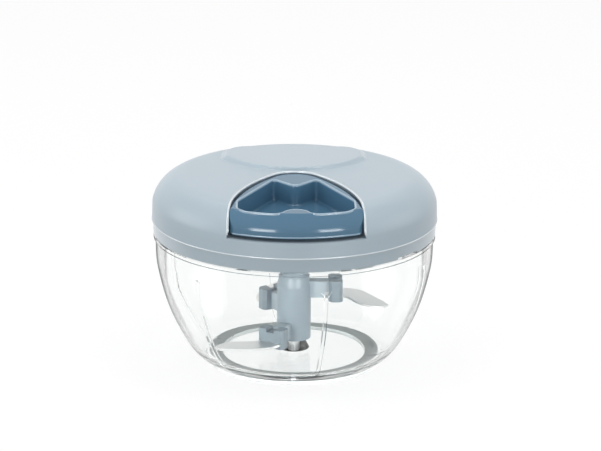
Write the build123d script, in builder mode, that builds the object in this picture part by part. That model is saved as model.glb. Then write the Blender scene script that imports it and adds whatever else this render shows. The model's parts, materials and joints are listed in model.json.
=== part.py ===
from build123d import *
import os
from math import acos, atan2, cos, degrees, pi, radians, sin, sqrt, tan

os.makedirs("parts", exist_ok=True)

# Driving sizes, in millimetres. Z is up, the handle faces -Y, the origin is on the bowl's axis at the table.
lid_radius = 65.0
rim_height = 65.0
foot_radius = 41.0
handle_width = 58.4

# Running and standing clearances that the pieces share
running_clearance = 0.05
running_gap = 0.2
soft_clearance = 0.2
press_clearance = 0.02
cut_overrun = 1.0

# Bowl: outer wall, floor, rim with bayonet lugs, inner ribs and the boss of the blade pin
bowl_wall = 2.6
bowl_floor_top = 4.2
bowl_floor_under = 1.5
foot_lift = 0.5
rim_wall = 1.8
rim_rise = 4.6
flange_height = 1.6
flange_reach = 0.9
bowl_side_radius_shares = (0.165, 0.4735, 0.8132, 0.9519)
bowl_side_height_shares = (0.058, 0.215, 0.507, 0.715)
floor_flat_share = 0.86
foot_slope = (0.62, 1)
rib_count = 6
rib_depth = 1.6
rib_width = 1.5
rib_drop = 10.4
first_rib_angle = -77.0
boss_foot_radius = 7.2
boss_top_radius = 4.6
boss_height = 4.8
pin_radius = 2.5
pin_stand = 18.0
pin_nose = 0.6
foot_ring_margin = 1.6
foot_ring_width = 6.4
foot_ring_top = 2.4
foot_ring_rounding = 0.5

# Bayonet: lugs on the bowl's rim pass between ledges in the lid's skirt and turn over them
lug_count = 4
lug_depth = 1.1
lug_height = 1.5
lug_drop = 0.6
lug_half_angle = 6.0
lug_clearance = 0.4
ledge_half_angle = 7.5
ledge_clearance = 0.35
stop_half_angle = 1.0
stop_clear_angle = 0.5
lock_angle = 22.0
first_lug_angle = 30.0

# Lid base: skirt, seal groove, floor of the gear chamber
skirt_gap = 0.6
skirt_wall = 1.6
skirt_top_step = 0.4
skirt_flare = 0.3
plug_clearance = 0.7
plug_wall = 1.8
seal_room = 1.8
seal_bevel_share = 0.33
seam_rise = 0.4
locating_rib_height = 1.8
base_floor = 2.0
base_floor_sink = 3.0
grip_notch_depth = 0.8
grip_notch_angle = -39.0
grip_notch_half_angle = 6.5
bearing_boss_depth = 3.0
bearing_boss_wall = 2.8
axle_boss_radius = 5.0
axle_boss_rise = 1.4
screw_inset = 14.95
screw_angles = (20.0, 160.0, 215.0, 325.0)
screw_radius = 1.5
screw_head_radius = 2.9
screw_head_height = 1.5
screw_length = 11.0
screw_boss_radius = 3.6

# Lid cover: outer form, wall, raised plate
cover_wall = 2.0
shoulder_width = 13.8
shoulder_width_shares = (0.022, 0.275)
shoulder_height_shares = (0.398, 0.7413, 0.9801)
shoulder_inward_shares = (0.8, 0.6)
crown_start_slope = 0.034
cover_lip_rounding = 0.7
plate_rise = 1.5
plate_front = 4.2
plate_front_radius = 39.5
plate_margin = 6.4
plate_half_width = 34.4
plate_corner = 8.0
plate_edge_rounding = 0.8
pilot_boss_radius = 4.6
pilot_boss_height = 2.0
pilot_boss_gap = 0.6

# Pull handle: a rounded triangular ring with a lobed hub at its apex
apex_y = 1.5
apex_side_share = (0.3253, 0.06955)
handle_setback = 1.8
handle_corner = 5.0
handle_foot_gap = 1.4
handle_sink = 0.3
handle_front_drop = 1.1
handle_floor = 1.4
front_bar = 5.2
nose_depth = 5.8
nose_height = 9.2
nose_middle_share = (0.207, 0.598)
nose_top_slope = (-1, 0.9)
hole_top_share = (0.331, 0.143)
hole_side_share = (0.8699, 0.6337)
hole_corner = 6.0
hole_ear_corner = 1.2
hub_tip_share = 0.3075
hub_rounding = 3.5
thumb_radius = 6.5
thumb_share = 0.9196
thumb_blend = 3.0
hole_floor_rounding = 1.0
handle_top_rounding = 1.2
handle_bottom_rounding = 0.6
pocket_gap = 1.2
pocket_wall = 1.8
knot_share = 0.16074
knot_radius = 2.4
knot_chamber_radius = 3.2
knot_room = 3.4
cord_slot_half = 1.1

# Cord, eyelet and reel
cord_radius = 0.8
cord_bore = 1.2
cord_pitch = 2.1
cord_turns = 3.5
winding_steps = 280
winding_room_under = 0.25
winding_room_over = 1.4
eyelet_radius = 2.5
eyelet_flange_radius = 3.6
eyelet_flange = 0.8
eyelet_boss_radius = 4.4
eyelet_boss_length = 3.2
eyelet_sink = 0.1
winding_radius = 15.0
reel_flange_depth = 3.0
reel_flange = 1.2
reel_floor = 2.0
reel_foot_gap = 1.0
reel_head_gap = 1.3
drum_wall = 1.55
spring_pitch = 1.0
spring_thickness = 0.5
spring_inner_radius = 5.0
spring_gap = 0.6
spring_cover_thickness = 1.0
arbor_radius = 4.3
arbor_slot = 0.8
arbor_slot_depth = 1.6
axle_radius = 2.5
washer_radius = 4.8
washer_thickness = 0.5

# Gear pair: the reel's gear drives the pinion on the bowl's axis
tooth_size = 1.5
gear_teeth = 24
pinion_teeth = 11
pressure_angle = 28.0
addendum_share = 0.8
dedendum_share = 1.0
backlash = 0.16
flank_steps = 3
gear_width = 5.9
gear_hub_radius = 7.0
gear_key_across = 11.0
gear_key_height = 1.1
gear_web_sink = 1.6
gear_rim_wall = 2.4
pilot_radius = 2.0
pilot_height = 1.9
pinion_collar = 1.2
bush_wall = 1.6
bush_flange_reach = 1.4
bush_flange = 0.8
journal_radius = 6.6
journal_stand = 0.4
stub_across = 8.0
stub_length = 4.0
socket_flange_reach = 1.5
socket_flange = 1.2
socket_gap = 0.1
socket_radius = 8.5
socket_height = 11.9
socket_web = 2.6
drive_screw_radius = 1.3
drive_screw_head_radius = 2.6
drive_screw_head = 1.4
drive_screw_length = 6.0

# Blade unit: column with three arms at three heights, clamps, rivets and blades
hexagon_sides = 6
key_across = 9.0
key_gap = 0.38
key_chamfer = 0.8
neck_radius = 6.8
neck_length = 5.2
neck_gap = 0.4
neck_taper = 4.0
neck_rings = 2
neck_ring = 0.35
neck_ring_spacing = 1.3
column_radius = 7.8
upper_blade_drop = 4.0
lower_blade_rise = 3.3
blade_height_shares = (1.0, 0.4865, 0.0)
arm_angles = (0.0, 120.0, 240.0)
blade_reach_shares = (1.0, 0.96, 0.9)
arm_width = 5.4
arm_height = 7.4
arm_drop = 1.7
clamp_inner = 15.8
clamp_length = 6.4
clamp_half_width = 6.6
clamp_bottom_drop = 2.3
clamp_top_rise = 6.6
clamp_chamfer = 1.4
clamp_notch_half = 2.0
clamp_notch_depth = 1.6
tongue_length = 4.0
tongue_width = 3.4
tongue_height = 3.6
tongue_rise = 1.2
blade_thickness = 0.9
blade_root_inset = 1.4
blade_root_half = 5.4
blade_wall_gap = 13.4
blade_edge_height = 0.5
blade_edge_width = 0.8
blade_tip_shares = (0.9239, -0.3826)
blade_lead_shares = ((0.384, 0.17), (0.68, -0.24))
blade_nose_share = (0.887, -1.193)
blade_tip_slope = (0.3, -1)
blade_nose_slope = (-1, 0.1)
blade_heel_slope = (-1, 0.6)
blade_trail_shares = ((0.58, -1.1), (0.286, -0.75))
rivet_radius = 1.1
rivet_head_radius = 1.9
rivet_head = 0.5
rivet_y = 3.6

# Bowl, bayonet and lid base, from the lid's rim inwards and from the bowl's rim up and down
skirt_top_radius = lid_radius - skirt_top_step
skirt_bottom_radius = skirt_top_radius - skirt_flare
skirt_inner_radius = skirt_bottom_radius - skirt_wall
flange_radius = skirt_bottom_radius
belly_radius = flange_radius - flange_reach
lug_radius = skirt_inner_radius - lug_clearance
rim_outer_radius = lug_radius - lug_depth
ledge_inner_radius = rim_outer_radius + ledge_clearance
bowl_mouth_radius = rim_outer_radius - rim_wall
plug_outer_radius = bowl_mouth_radius - plug_clearance
foot_ring_outer = foot_radius - foot_ring_margin
foot_ring_inner = foot_ring_outer - foot_ring_width
flange_top = rim_height - rim_rise
bowl_wall_height = flange_top - foot_lift
rib_top = flange_top - rib_drop
boss_top = bowl_floor_top + boss_height
pin_top = boss_top + pin_stand
lug_top = rim_height - lug_drop
skirt_bottom = flange_top + skirt_gap
ledge_height = lug_top - lug_height - lug_clearance - skirt_bottom
seal_roof = rim_height + seal_room
lid_seam_height = seal_roof + seam_rise
base_floor_top = rim_height - base_floor_sink
base_under = base_floor_top - base_floor
axle_boss_top = base_floor_top + axle_boss_rise
axle_boss_under = base_under - axle_boss_rise
bearing_boss_bottom = base_under - bearing_boss_depth
base_screw_radius = lid_radius - screw_inset
screw_places = [
    (base_screw_radius * cos(radians(angle)), base_screw_radius * sin(radians(angle)))
    for angle in screw_angles
]

# The drive, stacked up from the lid's floor
gear_bottom = axle_boss_top + washer_thickness + running_gap
gear_top = gear_bottom + gear_width
pinion_bottom = gear_bottom - running_gap
pinion_top = gear_top - running_gap
reel_bottom = gear_top + reel_foot_gap
winding_height = cord_turns * cord_pitch
cord_height = reel_bottom + reel_flange + winding_room_under + cord_radius + winding_height
reel_top = cord_height + cord_radius + winding_room_over + reel_flange
reel_flange_radius = winding_radius + reel_flange_depth
centre_distance = tooth_size * (gear_teeth + pinion_teeth) / 2
reel_x = winding_radius
reel_y = sqrt(centre_distance**2 - winding_radius**2)
reel_angle = degrees(atan2(reel_y, reel_x))

# The cover over the drive, the pocket in it and the handle in the pocket
crown_height = reel_top + reel_head_gap + cover_wall
cover_height = crown_height - lid_seam_height
plate_height = crown_height + plate_rise
shoulder_radii = [lid_radius - shoulder_width * share for share in (*shoulder_width_shares, 1)]
shoulder_heights = [lid_seam_height + cover_height * share for share in shoulder_height_shares]
plate_back = shoulder_radii[2] - plate_margin
pocket_floor = pinion_top + pilot_boss_gap + pilot_boss_height + pocket_wall
handle_bottom = pocket_floor + handle_foot_gap
handle_apex_top = crown_height - handle_sink
front_radius = lid_radius - handle_setback
front_y = -front_radius
handle_length = apex_y - front_y
half_width = handle_width / 2
apex_side_x = half_width * apex_side_share[0]
apex_side_y = apex_y - handle_length * apex_side_share[1]
hole_top_half = half_width * hole_top_share[0]
hole_top_y = apex_y - handle_length * hole_top_share[1]
hole_side_x = half_width * hole_side_share[0]
hole_side_y = apex_y - handle_length * hole_side_share[1]
hub_tip_y = apex_y - handle_length * hub_tip_share
thumb_y = apex_y - handle_length * thumb_share
knot_y = apex_y - handle_length * knot_share
knot_chamber_top = cord_height + knot_room
eyelet_front = apex_y + pocket_gap + eyelet_sink
eyelet_boss_back = eyelet_front + eyelet_boss_length

# The bearing and the socket under the lid, and the blade unit that reaches up into the socket
bush_outer_radius = journal_radius + bush_wall
bush_flange_radius = bush_outer_radius + bush_flange_reach
bearing_boss_radius = bush_outer_radius + bearing_boss_wall
pinion_collar_radius = journal_radius + pinion_collar
journal_bottom = bearing_boss_bottom - journal_stand
stub_bottom = journal_bottom - stub_length
web_top = stub_bottom - press_clearance
web_bottom = web_top - socket_web
socket_top = journal_bottom - socket_gap
socket_bottom = socket_top - socket_height
socket_flange_radius = socket_radius + socket_flange_reach
key_top = web_bottom - key_gap
neck_top = socket_bottom - neck_gap
neck_bottom = neck_top - neck_length
column_top = neck_bottom - neck_taper
column_bottom = boss_top + running_gap
lower_blade_height = column_bottom + lower_blade_rise
blade_height_span = column_top - upper_blade_drop - lower_blade_height
blade_heights = [lower_blade_height + blade_height_span * share for share in blade_height_shares]
clamp_outer = clamp_inner + clamp_length
blade_root = clamp_inner + blade_root_inset
rivet_x = clamp_inner + clamp_length / 2
blade_sweep = bowl_mouth_radius - blade_wall_gap
blade_tip_x = blade_sweep * blade_tip_shares[0]
blade_tip_y = blade_sweep * blade_tip_shares[1]


def sector_outline(inner, outer, centre_angle, half_angle):
    """Line segments round a piece of ring between two radii, centred on an angle in degrees."""
    start = centre_angle - half_angle
    CenterArc((0, 0), outer, start, 2 * half_angle)
    CenterArc((0, 0), inner, start, 2 * half_angle)
    for angle in (start, start + 2 * half_angle):
        along = (cos(radians(angle)), sin(radians(angle)))
        Line((inner * along[0], inner * along[1]), (outer * along[0], outer * along[1]))


def involute(angle):
    return tan(angle) - angle


def gear_outline(teeth, turn):
    """Closed outline of an involute gear with one tooth centred on the angle turn, in degrees."""
    pitch_radius = tooth_size * teeth / 2
    base_radius = pitch_radius * cos(radians(pressure_angle))
    tip_radius = pitch_radius + tooth_size * addendum_share
    root_radius = pitch_radius - tooth_size * dedendum_share
    half_thickness = (pi * tooth_size / 2 - backlash) / (2 * pitch_radius)

    def flank_angle(radius):
        rolled = max(radius, base_radius)
        return half_thickness + involute(radians(pressure_angle)) - involute(acos(base_radius / rolled))

    start_radius = max(root_radius, base_radius)
    flank = tip_radius - start_radius
    radii = [start_radius + flank * step / flank_steps for step in range(flank_steps + 1)]
    if root_radius < base_radius:
        radii = [root_radius] + radii
    points = []
    for tooth in range(teeth):
        middle = radians(turn) + 2 * pi * tooth / teeth
        for radius in radii:
            angle = middle - flank_angle(radius)
            points.append((radius * cos(angle), radius * sin(angle)))
        for radius in reversed(radii):
            angle = middle + flank_angle(radius)
            points.append((radius * cos(angle), radius * sin(angle)))
    return points


def bowl_side(offset):
    """Points of the bowl's side from foot to mouth, moved inwards by offset."""
    spread = belly_radius - foot_radius
    pairs = zip(bowl_side_radius_shares, bowl_side_height_shares)
    return [(foot_radius + spread * r - offset, foot_lift + bowl_wall_height * z) for r, z in pairs]


def handle_sides(gap):
    """Arc over the handle's apex and its two sides, moved outwards by gap. Gives the right side's end."""
    apex_radius = (apex_side_x**2 + (apex_y - apex_side_y) ** 2) / (2 * (apex_y - apex_side_y))
    apex_centre_y = apex_y - apex_radius
    grown = (apex_radius + gap) / apex_radius
    side_x = apex_side_x * grown
    side_y = apex_centre_y + (apex_side_y - apex_centre_y) * grown
    corner = (half_width + gap, -sqrt(front_radius**2 - half_width**2))
    apex = ThreePointArc((-side_x, side_y), (0, apex_y + gap), (side_x, side_y))
    right = TangentArc((side_x, side_y), corner, tangent=apex % 1)
    mirror(right, about=Plane.YZ)
    return corner


def pocket_outline(gap):
    """The handle's sides moved outwards by gap and led straight on to beyond the lid's front."""
    corner = handle_sides(gap)
    ahead_y = -lid_radius - cut_overrun
    Line(corner, (corner[0], ahead_y))
    Line((corner[0], ahead_y), (-corner[0], ahead_y))
    Line((-corner[0], ahead_y), (-corner[0], corner[1]))


# The bowl
with BuildPart() as bowl:
    with BuildSketch(Plane.XZ):
        with BuildLine():
            side = bowl_side(0)
            inner = bowl_side(bowl_wall)
            floor_edge = foot_radius * floor_flat_share
            Line((0, bowl_floor_under), (foot_ring_inner, bowl_floor_under))
            Line((foot_ring_inner, bowl_floor_under), (foot_ring_inner, foot_ring_top))
            Line((foot_ring_inner, foot_ring_top), (foot_ring_outer, foot_ring_top))
            Line((foot_ring_outer, foot_ring_top), (foot_ring_outer, foot_lift))
            Line((foot_ring_outer, foot_lift), (foot_radius, foot_lift))
            Spline(
                (foot_radius, foot_lift),
                *side,
                (belly_radius, flange_top - flange_height),
                tangents=(foot_slope, (0, 1)),
            )
            Line((belly_radius, flange_top - flange_height), (flange_radius, flange_top - flange_height))
            Line((flange_radius, flange_top - flange_height), (flange_radius, flange_top))
            Line((flange_radius, flange_top), (rim_outer_radius, flange_top))
            Line((rim_outer_radius, flange_top), (rim_outer_radius, rim_height))
            Line((rim_outer_radius, rim_height), (bowl_mouth_radius, rim_height))
            Line((bowl_mouth_radius, rim_height), (bowl_mouth_radius, rib_top))
            Spline(
                (bowl_mouth_radius, rib_top),
                inner[2],
                inner[1],
                (floor_edge, bowl_floor_top),
                tangents=((0, -1), (-1, 0)),
            )
            Line((floor_edge, bowl_floor_top), (boss_foot_radius, bowl_floor_top))
            Line((boss_foot_radius, bowl_floor_top), (boss_top_radius, boss_top))
            Line((boss_top_radius, boss_top), (0, boss_top))
            Line((0, boss_top), (0, bowl_floor_under))
        make_face()
    revolve(axis=Axis.Z)
    for rib in range(rib_count):
        turn = radians(first_rib_angle + 360 * rib / rib_count)
        rib_plane = Plane(origin=(0, 0, 0), x_dir=(cos(turn), sin(turn), 0), z_dir=(sin(turn), -cos(turn), 0))
        with BuildSketch(rib_plane):
            with BuildLine():
                Spline(
                    (bowl_mouth_radius, rib_top),
                    inner[2],
                    inner[1],
                    (floor_edge, bowl_floor_top),
                    tangents=((0, -1), (-1, 0)),
                )
                Spline(
                    (bowl_mouth_radius - rib_depth, rib_top - rib_depth),
                    (inner[2][0] - rib_depth, inner[2][1]),
                    (inner[1][0] - rib_depth, inner[1][1]),
                    (floor_edge - rib_depth, bowl_floor_top),
                    tangents=((0, -1), (-1, 0)),
                )
                Line((bowl_mouth_radius, rib_top), (bowl_mouth_radius - rib_depth, rib_top - rib_depth))
                Line((floor_edge, bowl_floor_top), (floor_edge - rib_depth, bowl_floor_top))
            make_face()
        extrude(amount=rib_width / 2, both=True)
    with BuildSketch(Plane.XY.offset(lug_top - lug_height)):
        lug_root = rim_outer_radius - (rim_outer_radius - bowl_mouth_radius) / 2
        for lug in range(lug_count):
            with BuildLine():
                sector_outline(lug_root, lug_radius, first_lug_angle + 360 * lug / lug_count, lug_half_angle)
            make_face()
    extrude(amount=lug_height)
    with BuildSketch(Plane.XY.offset(bowl_floor_top - (bowl_floor_top - bowl_floor_under) / 2)):
        Circle(pin_radius)
    extrude(amount=boss_top, mode=Mode.SUBTRACT)
bowl.part.label = "bowl"
export_step(bowl.part, "parts/bowl.step")

# The steel pin that the blade unit turns on, moulded into the bowl's boss
with BuildPart() as bowl_pin:
    pin_bottom = bowl_floor_top - (bowl_floor_top - bowl_floor_under) / 2
    with BuildSketch(Plane.XY.offset(pin_bottom)):
        Circle(pin_radius)
    extrude(amount=pin_top - pin_bottom)
    chamfer(bowl_pin.edges().group_by(Axis.Z)[-1], pin_nose)
bowl_pin.part.label = "bowl_pin"
export_step(bowl_pin.part, "parts/bowl_pin.step")

# The non-slip ring in the groove under the bowl
with BuildPart() as foot_ring:
    with BuildSketch():
        Circle(foot_ring_outer)
        Circle(foot_ring_inner, mode=Mode.SUBTRACT)
    extrude(amount=foot_ring_top)
    fillet(foot_ring.edges().group_by(Axis.Z)[0], foot_ring_rounding)
foot_ring.part.label = "foot_ring"
export_step(foot_ring.part, "parts/foot_ring.step")

# The lid's sealing ring, lying on the bowl's rim
with BuildPart() as lid_seal:
    seal_inner = plug_outer_radius + soft_clearance
    seal_outer = rim_outer_radius + (skirt_inner_radius - rim_outer_radius) / 2
    seal_bottom = rim_height + soft_clearance
    seal_top = seal_roof - soft_clearance
    lip = (seal_top - seal_bottom) * seal_bevel_share
    with BuildSketch(Plane.XZ):
        Polygon(
            (seal_inner, seal_bottom + lip),
            (seal_inner + lip, seal_bottom),
            (seal_outer - lip, seal_bottom),
            (seal_outer, seal_bottom + lip),
            (seal_outer, seal_top),
            (seal_inner, seal_top),
            align=None,
        )
    revolve(axis=Axis.Z)
lid_seal.part.label = "lid_seal"
export_step(lid_seal.part, "parts/lid_seal.step")

# The lid base: skirt with bayonet ledges, plug in the bowl's mouth and floor of the gear chamber
with BuildPart() as lid_base:
    plug_inner_radius = plug_outer_radius - plug_wall
    with BuildSketch(Plane.XZ):
        Polygon(
            (0, base_under),
            (plug_outer_radius, base_under),
            (plug_outer_radius, seal_roof),
            (skirt_inner_radius, seal_roof),
            (skirt_inner_radius, skirt_bottom),
            (skirt_bottom_radius, skirt_bottom),
            (skirt_top_radius, lid_seam_height),
            (skirt_inner_radius, lid_seam_height),
            (skirt_inner_radius, lid_seam_height + locating_rib_height),
            (plug_inner_radius, lid_seam_height + locating_rib_height),
            (plug_inner_radius, base_floor_top),
            (0, base_floor_top),
            align=None,
        )
    revolve(axis=Axis.Z)
    with BuildSketch(Plane.XY.offset(bearing_boss_bottom)):
        Circle(bearing_boss_radius)
    extrude(amount=base_floor_top - bearing_boss_bottom)
    with BuildSketch(Plane.XY.offset(axle_boss_under)):
        with Locations((reel_x, reel_y)):
            Circle(axle_boss_radius)
    extrude(amount=axle_boss_top - axle_boss_under)
    ledge_root = skirt_inner_radius + (skirt_bottom_radius - skirt_inner_radius) / 2
    ledge_angles = [first_lug_angle - lock_angle + 360 * ledge / lug_count for ledge in range(lug_count)]
    with BuildSketch(Plane.XY.offset(skirt_bottom)):
        for angle in ledge_angles:
            with BuildLine():
                sector_outline(ledge_inner_radius, ledge_root, angle, ledge_half_angle)
            make_face()
    extrude(amount=ledge_height)
    with BuildSketch(Plane.XY.offset(skirt_bottom)):
        for angle in ledge_angles:
            stop_angle = angle - lug_half_angle - stop_clear_angle - stop_half_angle
            with BuildLine():
                sector_outline(ledge_inner_radius, ledge_root, stop_angle, stop_half_angle)
            make_face()
    extrude(amount=lug_top - skirt_bottom)
    with BuildSketch(Plane.XY.offset(skirt_bottom - cut_overrun)):
        with BuildLine():
            notch_inner_radius = skirt_inner_radius - (skirt_inner_radius - ledge_inner_radius) / 2
            notch_outer_radius = skirt_bottom_radius + cut_overrun
            sector_outline(notch_inner_radius, notch_outer_radius, grip_notch_angle, grip_notch_half_angle)
        make_face()
    extrude(amount=grip_notch_depth + cut_overrun, mode=Mode.SUBTRACT)
    with BuildSketch(Plane.XY.offset(bearing_boss_bottom - cut_overrun)):
        Circle(bush_outer_radius + press_clearance)
    extrude(amount=base_floor_top - bearing_boss_bottom + 2 * cut_overrun, mode=Mode.SUBTRACT)
    with BuildSketch(Plane.XY.offset(base_under)):
        with Locations((reel_x, reel_y)):
            Circle(axle_radius + press_clearance)
    extrude(amount=axle_boss_top - base_under + cut_overrun, mode=Mode.SUBTRACT)
    with BuildSketch(Plane.XY.offset(base_under - cut_overrun)):
        with Locations(screw_places):
            Circle(screw_radius + running_clearance)
    extrude(amount=base_floor_top - base_under + 2 * cut_overrun, mode=Mode.SUBTRACT)
    with BuildSketch(Plane.XY.offset(base_under - cut_overrun)):
        with Locations(screw_places):
            Circle(screw_head_radius + running_clearance)
    extrude(amount=screw_head_height + cut_overrun, mode=Mode.SUBTRACT)
lid_base.part.label = "lid_base"
export_step(lid_base.part, "parts/lid_base.step")

# The outer form of the cover, the plate and the pocket, from which the cover is made
with BuildPart() as cover_form:
    with BuildSketch(Plane.XZ):
        with BuildLine():
            Line((0, lid_seam_height), (lid_radius, lid_seam_height))
            shoulder = list(zip(shoulder_radii, shoulder_heights))
            Line((lid_radius, lid_seam_height), shoulder[0])
            ThreePointArc(*shoulder)
            Spline(shoulder[2], (0, crown_height), tangents=((-1, crown_start_slope), (-1, 0)))
            Line((0, crown_height), (0, lid_seam_height))
        make_face()
    revolve(axis=Axis.Z)

with BuildPart() as pocket:
    with BuildSketch(Plane.XY.offset(pocket_floor)):
        with BuildLine():
            pocket_outline(pocket_gap)
        make_face()
    extrude(amount=plate_height - pocket_floor + cut_overrun)

with BuildPart() as pocket_walls:
    with BuildSketch(Plane.XY.offset(pocket_floor - pocket_wall)):
        with BuildLine():
            pocket_outline(pocket_gap + pocket_wall)
        make_face()
    extrude(amount=plate_height - pocket_floor + pocket_wall)
    with BuildSketch(Plane.XZ.offset(-eyelet_boss_back)):
        with Locations((0, cord_height)):
            Circle(eyelet_boss_radius)
    extrude(amount=eyelet_boss_back)
    with BuildSketch(Plane.XY.offset(pocket_floor - pocket_wall - pilot_boss_height)):
        Circle(pilot_boss_radius)
    extrude(amount=pilot_boss_height + pocket_wall / 2)
    with BuildSketch(Plane.XY.offset(reel_bottom + reel_floor + running_gap)):
        with Locations((reel_x, reel_y)):
            Circle(arbor_radius)
    extrude(amount=crown_height - reel_bottom - reel_floor - cover_wall)
    with BuildSketch(Plane.XY.offset(base_floor_top)):
        with Locations(screw_places):
            Circle(screw_boss_radius)
    extrude(amount=crown_height - base_floor_top - cover_wall)

with BuildPart() as cover_room:
    with BuildSketch(Plane.XZ):
        with BuildLine():
            room_corner = (lid_radius - cover_wall, lid_seam_height - cut_overrun)
            room_start = (shoulder_radii[0] - cover_wall, shoulder_heights[0])
            room_middle = (
                shoulder_radii[1] - cover_wall * shoulder_inward_shares[0],
                shoulder_heights[1] - cover_wall * shoulder_inward_shares[1],
            )
            room_end = (shoulder_radii[2], shoulder_heights[2] - cover_wall)
            Line((0, lid_seam_height - cut_overrun), room_corner)
            Line(room_corner, room_start)
            ThreePointArc(room_start, room_middle, room_end)
            Line(room_end, (0, crown_height - cover_wall))
            Line((0, crown_height - cover_wall), (0, lid_seam_height - cut_overrun))
        make_face()
    revolve(axis=Axis.Z)
    add(pocket_walls.part, mode=Mode.SUBTRACT)

with BuildPart() as lid_cover:
    add(cover_form.part)
    with BuildSketch(Plane.XY.offset(crown_height - cover_wall)) as plate_plan:
        with Locations((0, plate_front + plate_front_radius)):
            Circle(plate_front_radius)
        with Locations((0, plate_front)):
            Rectangle(
                2 * plate_half_width,
                plate_back - plate_front,
                align=(Align.CENTER, Align.MIN),
                mode=Mode.INTERSECT,
            )
        fillet(plate_plan.vertices().group_by(Axis.Y)[-1], plate_corner)
    extrude(amount=plate_height - crown_height + cover_wall)
    fillet(lid_cover.faces().sort_by(Axis.Z)[-1].edges(), plate_edge_rounding)
    add(cover_room.part, mode=Mode.SUBTRACT)
    with BuildSketch(Plane.XY.offset(base_floor_top)):
        with Locations(screw_places):
            Circle(screw_boss_radius)
    extrude(amount=lid_seam_height - base_floor_top)
    add(pocket.part, mode=Mode.SUBTRACT)
    with BuildSketch(Plane.XZ.offset(-eyelet_boss_back - cut_overrun)):
        with Locations((0, cord_height)):
            Circle(eyelet_radius + press_clearance)
    extrude(amount=eyelet_boss_back + cut_overrun, mode=Mode.SUBTRACT)
    with BuildSketch(Plane.XY.offset(pocket_floor - pocket_wall - pilot_boss_height - cut_overrun)):
        Circle(pilot_radius + running_clearance)
    extrude(amount=pilot_boss_height + cut_overrun, mode=Mode.SUBTRACT)
    with BuildSketch(Plane.XY.offset(reel_bottom)):
        with Locations((reel_x, reel_y)):
            Circle(axle_radius + press_clearance)
    extrude(amount=reel_top - reel_bottom, mode=Mode.SUBTRACT)
    with BuildSketch(Plane.XY.offset(reel_bottom)):
        with Locations((reel_x + arbor_radius - arbor_slot_depth / 2, reel_y)):
            Rectangle(arbor_slot_depth, arbor_slot)
    extrude(amount=reel_top - spring_cover_thickness - reel_bottom, mode=Mode.SUBTRACT)
    with BuildSketch(Plane.XY.offset(base_floor_top - cut_overrun)):
        with Locations(screw_places):
            Circle(screw_radius + running_clearance)
    extrude(amount=screw_length + cut_overrun, mode=Mode.SUBTRACT)
    seam_edge = lid_cover.edges().filter_by(GeomType.CIRCLE).group_by(SortBy.RADIUS)[-1].sort_by(Axis.Z)[0]
    fillet(seam_edge, cover_lip_rounding)
lid_cover.part.label = "lid_cover"
export_step(lid_cover.part, "parts/lid_cover.step")


# The handle's finger well, with its hub and thumb bump, as a well in a wide slab under the top plane
top_slope = handle_front_drop / handle_length
top_plane = Plane(origin=(0, 0, handle_apex_top - apex_y * top_slope), z_dir=(0, -top_slope, 1))
handle_height = handle_apex_top - handle_bottom
with BuildPart() as handle_well:
    with BuildSketch(Plane.XY.offset(handle_bottom)):
        Circle(handle_length)
    extrude(amount=handle_height + handle_front_drop + cut_overrun)
    with BuildSketch(Plane.XY.offset(handle_bottom + handle_floor)) as well_plan:
        well_front_radius = front_radius - front_bar
        well_front_corner_y = -sqrt(well_front_radius**2 - hole_side_x**2)
        with BuildLine():
            Line((0, hub_tip_y), (hole_top_half, hole_top_y))
            Line((hole_top_half, hole_top_y), (hole_side_x, hole_side_y))
            Line((hole_side_x, hole_side_y), (hole_side_x, well_front_corner_y))
            ThreePointArc(
                (hole_side_x, well_front_corner_y),
                (0, -well_front_radius),
                (-hole_side_x, well_front_corner_y),
            )
            Line((-hole_side_x, well_front_corner_y), (-hole_side_x, hole_side_y))
            Line((-hole_side_x, hole_side_y), (-hole_top_half, hole_top_y))
            Line((-hole_top_half, hole_top_y), (0, hub_tip_y))
        make_face()
        fillet(well_plan.vertices().sort_by(Axis.Y)[:4], hole_corner)
        fillet(well_plan.vertices().group_by(Axis.Y)[-1], hole_ear_corner)
        fillet(well_plan.vertices().sort_by(lambda corner: abs(corner.X))[0], hub_rounding)
        with Locations((0, thumb_y)):
            Circle(thumb_radius, mode=Mode.SUBTRACT)
        fillet(well_plan.vertices().group_by(Axis.Y)[0], thumb_blend)
    extrude(amount=handle_height + handle_front_drop + cut_overrun, mode=Mode.SUBTRACT)
    split(bisect_by=top_plane, keep=Keep.BOTTOM)
    fillet(handle_well.faces().sort_by(Axis.Z)[-1].inner_wires()[0].edges(), handle_top_rounding)
    well_floor = handle_well.faces().filter_by(Axis.Z).sort_by(Axis.Z)[1]
    fillet(well_floor.edges(), hole_floor_rounding)

# The round nose of the handle's front, turned about the bowl's axis
with BuildPart() as handle_nose:
    with BuildSketch(Plane.XZ):
        with BuildLine():
            nose_top = (front_radius - nose_depth, handle_apex_top)
            nose_middle = (
                front_radius - nose_depth * nose_middle_share[0],
                handle_apex_top - nose_height * nose_middle_share[1],
            )
            nose_foot = (front_radius, handle_apex_top - nose_height)
            Line((0, handle_bottom), (front_radius, handle_bottom))
            Line((front_radius, handle_bottom), nose_foot)
            Spline(nose_foot, nose_middle, nose_top, tangents=((0, 1), nose_top_slope))
            Line(nose_top, (nose_top[0], handle_apex_top + cut_overrun))
            Line((nose_top[0], handle_apex_top + cut_overrun), (0, handle_apex_top + cut_overrun))
            Line((0, handle_apex_top + cut_overrun), (0, handle_bottom))
        make_face()
    revolve(axis=Axis.Z)

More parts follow.
